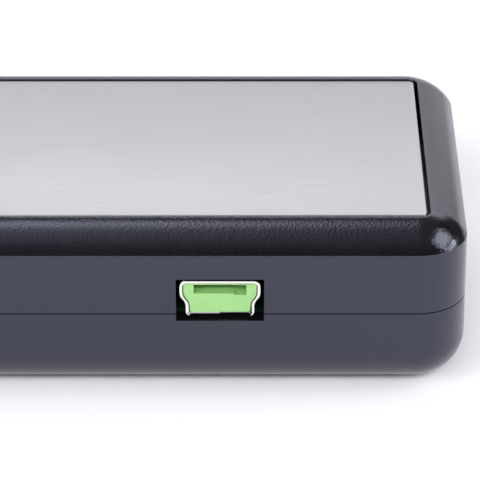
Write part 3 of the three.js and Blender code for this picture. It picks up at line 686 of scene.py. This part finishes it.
def add_tier(name, half_x, half_y, z0, z1, corner, segments=8):
    """A rounded block round the first key's middle."""
    low = (first.x - half_x, first.y - half_y, z0)
    high = (first.x + half_x, first.y + half_y, z1)
    return add_block(name, low, high, corner, segments)


key = add_tier("key_cap_power", KEY_HALF_X, KEY_HALF_Y, flange_z, key_top, KEY_CORNER, 10)
soften(key, over(key_top - HAIR), KEY_ROUND, 6)
flange = add_tier(
    "flange", (key_high.x - key_low.x) / 2, (key_high.y - key_low.y) / 2,
    flange_z, flange_z + FLANGE, KEY_CORNER,
)
combine(key, flange, "UNION")
combine(key, add_drum("stem", first.x, first.y, STEM_RADIUS, key_low.z, flange_z + 0.2, 32), "UNION")
smooth(key, 40)

key_caps = {"power": key}
for name in KEYS[1:]:
    shift = Vector((node_centre(f"key_{name}").x - first.x, 0, 0))
    key_caps[name] = copy_to(key, f"key_cap_{name}", shift)
for key_cap in key_caps.values():
    report(key_cap)

# %% Signs on the keys
sign_z = key_top + SIGN / 2
SIGN_LINE = 0.32


def add_ring(x, y, radius, start, sweep):
    """A flat ring, or part of one, spun clockwise from one small square at the angle start."""
    low = Vector((x + radius - SIGN_LINE / 2, y - 0.01, sign_z - SIGN / 2))
    high = Vector((x + radius + SIGN_LINE / 2, y + 0.01, sign_z + SIGN / 2))
    piece = add_block("ring", low, high)
    edit(piece, "FACE", lambda face: face.normal.y > 0.9)
    bpy.ops.mesh.spin(
        steps=28, angle=math.radians(sweep), center=(x * MM, y * MM, sign_z * MM), axis=(0, 0, 1)
    )
    bpy.ops.mesh.select_all(action="SELECT")
    turn = math.radians(-start)
    bpy.ops.transform.rotate(value=turn, orient_axis="Z", center_override=(x * MM, y * MM, sign_z * MM))
    bpy.ops.mesh.remove_doubles(threshold=1e-6)
    bpy.ops.mesh.normals_make_consistent(inside=False)
    leave()
    return piece


def add_dash(x, y, half_x, half_y):
    low = Vector((x - half_x, y - half_y, sign_z - SIGN / 2))
    high = Vector((x + half_x, y + half_y, sign_z + SIGN / 2))
    return add_block("dash", low, high, min(half_x, half_y) * 0.9, 4)


BAR_LONG = 1.1
BAR_STEP = 0.75
DOT = 0.3
spot = node_centre("key_power")
signs = {"power": merge("key_sign_power", [
    add_ring(spot.x, spot.y, 1, -120, 300),
    add_dash(spot.x, spot.y - 0.9, SIGN_LINE / 2, 0.7),
])}
spot = node_centre("key_mode")
signs["mode"] = merge("key_sign_mode", [
    add_dash(spot.x, spot.y + row * BAR_STEP, BAR_LONG, SIGN_LINE / 2) for row in (-1, 0, 1)
])
spot = node_centre("key_tare")
signs["tare"] = merge("key_sign_tare", [
    add_ring(spot.x, spot.y, 0.85, 0, 355),
    add_dash(spot.x - 1.75, spot.y, DOT, DOT),
    add_dash(spot.x + 1.75, spot.y, DOT, DOT),
])
for sign in signs.values():
    report(sign)

# %% [markdown]
# ## Feet and battery cap
# The feet are soft rubber discs with a rounded edge and a shallow dish underneath. The battery cap
# is turned with a coin: a round disc with a slot, a groove for its seal and two lugs inside.

# %% Feet
FOOT_ROUND = 0.3
DISH_DEEP = 0.15
spot = node_centre("foot_front_right")
foot = add_drum("rubber_foot_front_right", spot.x, spot.y, foot_radius, foot_low.z, foot_high.z, 64)
soften(foot, under(foot_low.z + HAIR), FOOT_ROUND, 5)
edit(foot, "FACE", lambda face: face.normal.z < -0.99)
bpy.ops.mesh.inset(thickness=0.5 * MM)
bpy.ops.mesh.inset(thickness=0.35 * MM, depth=-DISH_DEEP * MM)
leave()
smooth(foot, 40)
feet = [foot]
for name in FEET[1:]:
    shift = node_centre(f"foot_{name}") - spot
    feet.append(copy_to(foot, f"rubber_foot_{name}", shift))
report(foot)

# %% Battery cap
RIM = 1.25
CAP_THICK = 1.7
CAP_ROUND = 0.25
CAP_DISH = 0.12
GROOVE_LOW = cap_low.z + 0.4
GROOVE_HIGH = GROOVE_LOW + 1.1
GROOVE_DEEP = 1.08
cap = add_drum("coin_cap", cap_x, 0, cap_radius, cap_low.z, cap_high.z, 128)
soften(cap, under(cap_low.z + HAIR), CAP_ROUND, 4)
edit(cap, "FACE", lambda face: face.normal.z < -0.99)
bpy.ops.mesh.inset(thickness=0.9 * MM)
bpy.ops.mesh.inset(thickness=0.2 * MM, depth=-CAP_DISH * MM)
leave()
pocket_floor = cap_low.z + CAP_THICK
combine(cap, add_drum("cell_room", cap_x, 0, cap_radius - RIM, pocket_floor, above, 96))
groove = add_drum("groove", cap_x, 0, cap_radius + 1, GROOVE_LOW, GROOVE_HIGH, 128)
combine(groove, add_drum("core", cap_x, 0, cap_radius - GROOVE_DEEP, below, above, 128))
combine(cap, groove)

# %% Battery cap: lugs and coin slot
LUG_LOW = FLOOR_TOP + 0.15
LUG_HALF = 4.4
SLOT_LONG = 14
SLOT_WIDE = 1.8
SLOT_DEEP = 0.8
lug_ring = add_drum("lugs", cap_x, 0, lug_radius, LUG_LOW, cap_high.z, 96)
combine(lug_ring, add_drum("core", cap_x, 0, cap_radius - 0.4, below, above, 96))
for side in (-1, 1):
    near, far = sorted((side * LUG_HALF, side * 20))
    combine(lug_ring, add_block("waste", (cap_x - 20, near, below), (cap_x + 20, far, above)))
combine(cap, lug_ring, "UNION")
combine(cap, add_block(
    "slot", (cap_x - SLOT_LONG / 2, -SLOT_WIDE / 2, below),
    (cap_x + SLOT_LONG / 2, SLOT_WIDE / 2, cap_low.z + SLOT_DEEP), SLOT_WIDE / 2 - 0.05, 8,
))
smooth(cap)
report(cap)

# %% [markdown]
# ## Materials
# One function turns a hex colour into linear values, one starts a material with its
# shader, and one adds a node with its settings and links. Everything else is built from those.

# %% Material helpers
def linear(code):
    """An sRGB hex colour as linear RGBA."""
    channels = [int(code[i:i + 2], 16) / 255 for i in (1, 3, 5)]
    return [c / 12.92 if c <= 0.04045 else ((c + 0.055) / 1.055) ** 2.4 for c in channels] + [1]


def add_node(tree, kind, settings=None, **inputs):
    """Adds a node. settings are its options; inputs are socket values or links from other sockets."""
    node = tree.nodes.new(kind)
    for name, value in (settings or {}).items():
        setattr(node, name, value)
    for name, value in inputs.items():
        socket = node.inputs[name.replace("_", " ")]
        if isinstance(value, bpy.types.NodeSocket):
            tree.links.new(value, socket)
        else:
            socket.default_value = value
    return node


def start_material(name, code, roughness, metallic=0.0, ior=None):
    """A material with one Principled shader; returns the material, its nodes and the shader."""
    material = bpy.data.materials.new(name)
    material.use_nodes = True
    tree = material.node_tree
    shader = tree.nodes["Principled BSDF"]
    shader.inputs["Base Color"].default_value = linear(code)
    shader.inputs["Roughness"].default_value = roughness
    shader.inputs["Metallic"].default_value = metallic
    if ior:
        shader.inputs["IOR"].default_value = ior
    return material, tree, shader


def grain(tree, size, detail=2.0, stretch=(1, 1, 1)):
    """Noise on object coordinates whose grains are about size millimetres across."""
    place = add_node(tree, "ShaderNodeTexCoord").outputs["Object"]
    mapped = add_node(tree, "ShaderNodeMapping", Vector=place, Scale=stretch).outputs["Vector"]
    noise = add_node(tree, "ShaderNodeTexNoise", Vector=mapped, Scale=1 / (size * MM), Detail=detail)
    return noise.outputs["Fac"]


def vary(tree, factor, low, high):
    """Spreads a 0 to 1 pattern between two values."""
    spread = add_node(tree, "ShaderNodeMapRange", Value=factor, To_Min=low, To_Max=high)
    spread.inputs["From Min"].default_value = 0.3
    spread.inputs["From Max"].default_value = 0.7
    return spread.outputs["Result"]


def vary_colour(tree, factor, first_code, second_code):
    """Spreads a pattern between two colours."""
    mix = add_node(tree, "ShaderNodeMix", {"data_type": "RGBA"})
    tree.links.new(factor, mix.inputs["Factor"])
    mix.inputs[6].default_value = linear(first_code)
    mix.inputs[7].default_value = linear(second_code)
    return mix.outputs[2]


def relief(tree, shader, height, depth):
    """Bumps the surface by depth millimetres."""
    bump = add_node(tree, "ShaderNodeBump", Height=height, Distance=depth * MM, Strength=1.0)
    tree.links.new(bump.outputs["Normal"], shader.inputs["Normal"])


# %% [markdown]
# ### Black ABS, spark-eroded mould
# The case is ABS from a spark-eroded mould: nearly black in itself, with a fine satin grain of
# about a quarter of a millimetre that breaks the highlights into specks. An IOR above plain ABS
# stands for the gloss of the moulded skin; the blue tint on its reflection is painted light.

# %% Black ABS
SPARK_GRAIN = 0.25
SPARK_DEPTH = 0.022
CLOUD = 6  # size of the patches where the mould is a little more or less worn
abs_black, tree, shader = start_material("abs_black_spark_grain", "#0b0b0d", 0.16, ior=1.75)
fine = grain(tree, SPARK_GRAIN, 2)
cloudy = grain(tree, CLOUD, 2)
tree.links.new(vary(tree, cloudy, 0.14, 0.19), shader.inputs["Roughness"])
tree.links.new(vary_colour(tree, fine, "#070709", "#121216"), shader.inputs["Base Color"])
# Painted light: this blue tint on the reflection is the blue of the light, not of the plastic.
shader.inputs["Specular Tint"].default_value = linear("#e1e3ff")
relief(tree, shader, fine, SPARK_DEPTH)

# %% [markdown]
# ### Satin stainless steel
# The platform is stainless sheet with a fine brushed finish along its length. Real brushing is too
# fine to show, so it is drawn as coarse as it needs to be, in streaks of 0.1 mm that shade the gloss.

# %% Satin stainless
STREAK = 0.1
STREAK_STRETCH = 0.02  # one over how many times longer than wide a streak is
steel, tree, shader = start_material("stainless_satin_brushed", "#b9b8bc", 0.3, 1.0)
streaks = grain(tree, STREAK, 2, (STREAK_STRETCH, 1, 1))
broad = grain(tree, 9, 1)
tree.links.new(vary(tree, streaks, 0.27, 0.33), shader.inputs["Roughness"])
tree.links.new(vary_colour(tree, broad, "#b6b5b9", "#bcbbbf"), shader.inputs["Base Color"])
shader.inputs["Anisotropic"].default_value = 0.3
relief(tree, shader, streaks, 0.0006)

# %% [markdown]
# ### Smaller finishes
# Bright nickel on the port and the cell, pale green thermoplastic in the port, soft rubber on the
# feet, acrylic over the display, and the plain finishes of what lies inside.

# %% Nickel, green moulding, rubber, acrylic
nickel, tree, shader = start_material("nickel_plate_bright", "#f2f0ea", 0.2, 1.0)
tree.links.new(vary(tree, grain(tree, 0.5), 0.16, 0.26), shader.inputs["Roughness"])
relief(tree, shader, grain(tree, 0.2), 0.001)

green, tree, shader = start_material("thermoplastic_pale_green", "#87b56f", 0.4, ior=1.57)
tree.links.new(vary_colour(tree, grain(tree, 0.8), "#82b06a", "#8cba75"), shader.inputs["Base Color"])
relief(tree, shader, grain(tree, 0.12), 0.002)
shader.inputs["Subsurface Weight"].default_value = 0.15
shader.inputs["Subsurface Radius"].default_value = (0.0004, 0.0006, 0.0003)

rubber, tree, shader = start_material("rubber_soft_dark", "#1c1c1e", 0.75, ior=1.5)
tree.links.new(vary_colour(tree, grain(tree, 0.4), "#19191b", "#222225"), shader.inputs["Base Color"])
relief(tree, shader, grain(tree, 0.25), 0.02)

acrylic, tree, shader = start_material("acrylic_clear", "#e9edf0", 0.04, ior=1.49)
shader.inputs["Transmission Weight"].default_value = 1.0
tree.links.new(vary(tree, grain(tree, 4), 0.02, 0.06), shader.inputs["Roughness"])

lcd_face, tree, shader = start_material("display_glass_grey_green", "#8f9c86", 0.12, ior=1.52)
tree.links.new(vary_colour(tree, grain(tree, 3), "#8b9882", "#94a08b"), shader.inputs["Base Color"])
lcd_ink, tree, shader = start_material("display_segment_dark", "#23282a", 0.25, ior=1.52)
tree.links.new(vary_colour(tree, grain(tree, 0.5), "#1f2425", "#292e30"), shader.inputs["Base Color"])

key_satin, tree, shader = start_material("abs_key_satin", "#26262b", 0.5, ior=1.53)
tree.links.new(vary_colour(tree, grain(tree, 0.3), "#232327", "#2b2b30"), shader.inputs["Base Color"])
relief(tree, shader, grain(tree, 0.2), 0.008)
sign_ink, tree, shader = start_material("screen_print_grey", "#c9c9cc", 0.6)
tree.links.new(vary_colour(tree, grain(tree, 0.1), "#c0c0c4", "#d2d2d4"), shader.inputs["Base Color"])

# %% Finishes of the inner pieces
def plain_finish(name, first_code, second_code, size, roughness, metallic=0.0, depth=0.004):
    """A finish that varies in colour at one real grain size, with a little relief."""
    material, nodes, principled = start_material(name, first_code, roughness, metallic)
    pattern = grain(nodes, size)
    colour = vary_colour(nodes, pattern, first_code, second_code)
    nodes.links.new(colour, principled.inputs["Base Color"])
    relief(nodes, principled, pattern, depth)
    return material


inner_finishes = {
    "black_abs": abs_black,
    "plated_steel": nickel,
    "rubber": rubber,
    "contact_metal": plain_finish("contact_gold_flash", "#d9b767", "#e2c57c", 0.2, 0.25, 1.0),
    "screw_steel": plain_finish("screw_black_zinc", "#4b4b50", "#5c5c61", 0.2, 0.35, 1.0),
    # Green solder mask darkened to near black: the extra darkness is painted shade for the inside of
    # the case.
    "board": plain_finish("solder_mask_green_painted_shade", "#0b1f14", "#0e2618", 1.0, 0.35),
    "chip": plain_finish("epoxy_moulded_black", "#17171a", "#202023", 0.15, 0.6),
    "cell_aluminium": plain_finish("aluminium_milled", "#b9bbc0", "#c8cacd", 0.3, 0.35, 1.0),
    "silicone": plain_finish("silicone_white", "#e6e4dc", "#efede6", 0.8, 0.5),
    "white_plastic": plain_finish("abs_white", "#e2e2de", "#eaeae7", 0.3, 0.45),
    "zebra_rubber": plain_finish("zebra_rubber_pink", "#c48796", "#d096a4", 0.2, 0.7),
    "plunger_plastic": plain_finish("nylon_red", "#b23e2f", "#c04a3a", 0.2, 0.5),
    "wire_sleeve": plain_finish("pvc_sleeve_grey", "#cfcfcf", "#dadada", 0.4, 0.5),
}

# %% [markdown]
# ## Dressing the pieces
# Each new piece gets its finish, rides on the CAD body that it belongs to and stands for its CAD
# node. The nodes that stay are inside or hidden, and take their finish from their material slot.

# %% Finish, body and node of each new piece
dressed = [
    (upper, abs_black, "base", "upper_case", "black_abs"),
    (lower, abs_black, "base", "lower_case", "black_abs"),
    (plate, steel, "platform", "platform_plate", "platform_steel"),
    (shell, nickel, "base", "usb_shell", "plated_steel"),
    (moulding, green, "base", "usb_insulator", "green_moulding"),
    (window, acrylic, "base", "display_window", "window"),
    (glass, lcd_face, "base", "lcd_glass", "lcd_glass"),
    (segments, lcd_ink, "base", None, "lcd_glass"),
    (cap, abs_black, "cap", "battery_cap", "black_abs"),
]
for name in KEYS:
    dressed.append((key_caps[name], key_satin, f"{name}_key", f"key_{name}", "key_plastic"))
    dressed.append((signs[name], sign_ink, f"{name}_key", None, "key_plastic"))
for piece, name in zip(feet, FEET):
    dressed.append((piece, rubber, "base", f"foot_{name}", "rubber"))
for piece, material, body, node, slot in dressed:
    piece.data.materials.clear()
    piece.data.materials.append(material)
    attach(piece, body)
    if node:
        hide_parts(node)

slot_of = {part["node"]: part["material_slot"] for part in frame["record"]["subparts"]}
replaced = {node for _, _, _, node, _ in dressed if node} | {"load_cell"}
kept = [name for name in frame["nodes"] if name not in replaced]
for name in kept:
    node = frame["nodes"][name]
    node.data.materials.clear()
    node.data.materials.append(inner_finishes[slot_of[name]])
print(len(dressed), "new pieces,", len(kept), "CAD nodes kept")

# %% [markdown]
# ## The beam that bends
# The load cell is fixed to the case at one end and carries the platform at the other. Its free end
# goes down with the platform, so a copy of its CAD mesh is cut across twice, beyond the strain
# gauges and where the boss begins. On the real beam, the stretch between the two cuts is what bends.

# %% Load cell
node = frame["nodes"]["load_cell"]
beam = bpy.data.objects.new("load_cell_beam", node.data.copy())
bpy.context.scene.collection.objects.link(beam)
beam.data.transform(node.matrix_world)
edit(beam, "VERT", lambda vertex: True)
bpy.ops.mesh.remove_doubles(threshold=1e-6)
leave()
bend_start = Vector((node_box("gauge_coating_top")[1].x + 0.2, 0, 0)) * MM
bend_end = Vector((boss_left, 0, 0)) * MM
for cut in (bend_start, bend_end):
    edit(beam, "FACE", lambda face: True)
    bpy.ops.mesh.bisect(plane_co=cut, plane_no=(1, 0, 0), use_fill=False)
    leave()
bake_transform(beam)
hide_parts("load_cell")
beam.data.materials.clear()
beam.data.materials.append(inner_finishes[slot_of["load_cell"]])
report(beam)

# %% [markdown]
# ## Studio
# A white table, a bright wall behind the scale, a soft box overhead, and a camera's side that is
# dark but for a dim band low down. A black satin surface shows little of its own colour, mostly this
# room, so the room is what shapes it. It is drawn as brightness over an angle. Four soft boxes then
# light the table and the front.

# %% Table
bpy.ops.mesh.primitive_plane_add(size=6, location=(0, 0, 0))
table = bpy.context.object
table.name = "table"
paper, tree, shader = start_material("table_paper_white", "#ececf2", 0.7)
shader.inputs["Specular IOR Level"].default_value = 0.1
table.data.materials.append(paper)

# %% Room seen in the reflections
# Angle over the scale, from the wall behind it (0) over the ceiling (90) to the camera's side
# (180), against the brightness of the room there. The soft box over the scale ends near its
# middle, so a second profile holds the right part.
ROOM_LEFT = [
    (0, 1.0), (18, 0.95), (24, 1.05), (30, 1.45), (36, 1.95), (41, 2.0), (44, 0.25), (62, 0.2),
    (65, 3.0), (78, 2.6), (84, 1.1), (98, 0.75), (112, 0.55), (126, 0.2), (138, 0.03), (160, 0.03),
    (170, 0.3), (180, 0.4),
]
ROOM_RIGHT = [(place, value if place < 60 or place > 130 else 0.15) for place, value in ROOM_LEFT]
BRIGHTEST = 3.0
world = bpy.data.worlds.new("studio")
bpy.context.scene.world = world
world.use_nodes = True
tree = world.node_tree
direction = add_node(tree, "ShaderNodeTexCoord").outputs["Generated"]
parts = add_node(tree, "ShaderNodeSeparateXYZ", Vector=direction).outputs
angle = add_node(tree, "ShaderNodeMath", {"operation": "ARCTAN2"})
tree.links.new(parts["Z"], angle.inputs[0])
tree.links.new(parts["Y"], angle.inputs[1])
share = add_node(tree, "ShaderNodeMapRange", Value=angle.outputs[0])
share.inputs["From Max"].default_value = math.pi


def add_profile(room):
    """A colour ramp over the angle, with one stop for each brightness."""
    ramp = add_node(tree, "ShaderNodeValToRGB", Fac=share.outputs["Result"])
    elements = ramp.color_ramp.elements
    while len(elements) < len(room):
        elements.new(0.5)
    for (place, value), element in zip(room, elements):
        element.position = place / 180
        part = value / BRIGHTEST
        element.color = (part, part, part * 1.03, 1)
    return ramp.outputs["Color"]


def along_x(start, end, first, last):
    """A value that goes from first to last where the direction's X goes from start to end."""
    fade = add_node(tree, "ShaderNodeMapRange", Value=parts["X"], To_Min=first, To_Max=last)
    fade.inputs["From Min"].default_value = start
    fade.inputs["From Max"].default_value = end
    return fade.outputs["Result"]


room = add_node(tree, "ShaderNodeMix", {"data_type": "RGBA"})
tree.links.new(along_x(-0.06, 0.1, 0.0, 1.0), room.inputs["Factor"])
tree.links.new(add_profile(ROOM_LEFT), room.inputs[6])
tree.links.new(add_profile(ROOM_RIGHT), room.inputs[7])
# The room darkens past two sides. The one on the right gives the right corner of the rim a dark
# gap to mirror.
both_ends = add_node(tree, "ShaderNodeMath", {"operation": "MULTIPLY"})
tree.links.new(along_x(-0.45, -0.37, 0.07, 1.0), both_ends.inputs[0])
tree.links.new(along_x(0.46, 0.54, BRIGHTEST, 0.2), both_ends.inputs[1])
background = tree.nodes["Background"]
tree.links.new(room.outputs[2], background.inputs["Color"])
tree.links.new(both_ends.outputs[0], background.inputs["Strength"])


# %% Soft boxes
def add_soft_box(name, place, size_x, size_y, brightness, mirrored=True):
    """A soft box that faces the scale. A fill is not mirrored and only brightens matt surfaces."""
    light = bpy.data.lights.new(name, "AREA")
    light.shape = "RECTANGLE"
    light.size, light.size_y = size_x, size_y
    light.energy = brightness * math.pi * size_x * size_y
    holder = bpy.data.objects.new(name, light)
    bpy.context.scene.collection.objects.link(holder)
    holder.location = place
    holder.rotation_euler = (-Vector(place)).to_track_quat("-Z", "Y").to_euler()
    holder.visible_camera = False
    holder.visible_glossy = mirrored
    return holder


add_soft_box("front_left", (-0.9, -1.0, 0.8), 0.9, 0.6, 10)
add_soft_box("front_fill", (0.2, -1.15, 0.85), 1.0, 0.3, 19, mirrored=False)
add_soft_box("window_right", (1.03, -0.14, 0.94), 0.85, 0.65, 3.6)
add_soft_box("sill_right", (1.3, -0.1, 0.48), 0.8, 0.12, 9)

# %% [markdown]
# ## Camera
# A long lens close above the port side, tilted down, as for a detail picture of the port.

# %% Camera
ELEVATION = math.radians(28.54)
DISTANCE = 305.4
AIM_RIGHT = 1.84  # the lens points this far right of the port
aim_point = Vector((port_x + AIM_RIGHT, -case_high.y, crease_z))
back = Vector((0, -math.cos(ELEVATION), math.sin(ELEVATION)))
up = Vector((0, math.sin(ELEVATION), math.cos(ELEVATION)))
RISE = 0.55  # the middle of the picture lies this far above the crease
camera_data = bpy.data.cameras.new("camera")
camera = bpy.data.objects.new("camera", camera_data)
bpy.context.scene.collection.objects.link(camera)
camera.location = (aim_point + back * DISTANCE + up * RISE) * MM
camera.rotation_euler = (math.pi / 2 - ELEVATION, 0, 0)
camera_data.sensor_fit = "AUTO"
camera_data.sensor_width = 36
camera_data.lens = 241.4
camera_data.clip_start = 0.01
bpy.context.scene.camera = camera
bpy.context.scene.view_settings.view_transform = "Standard"
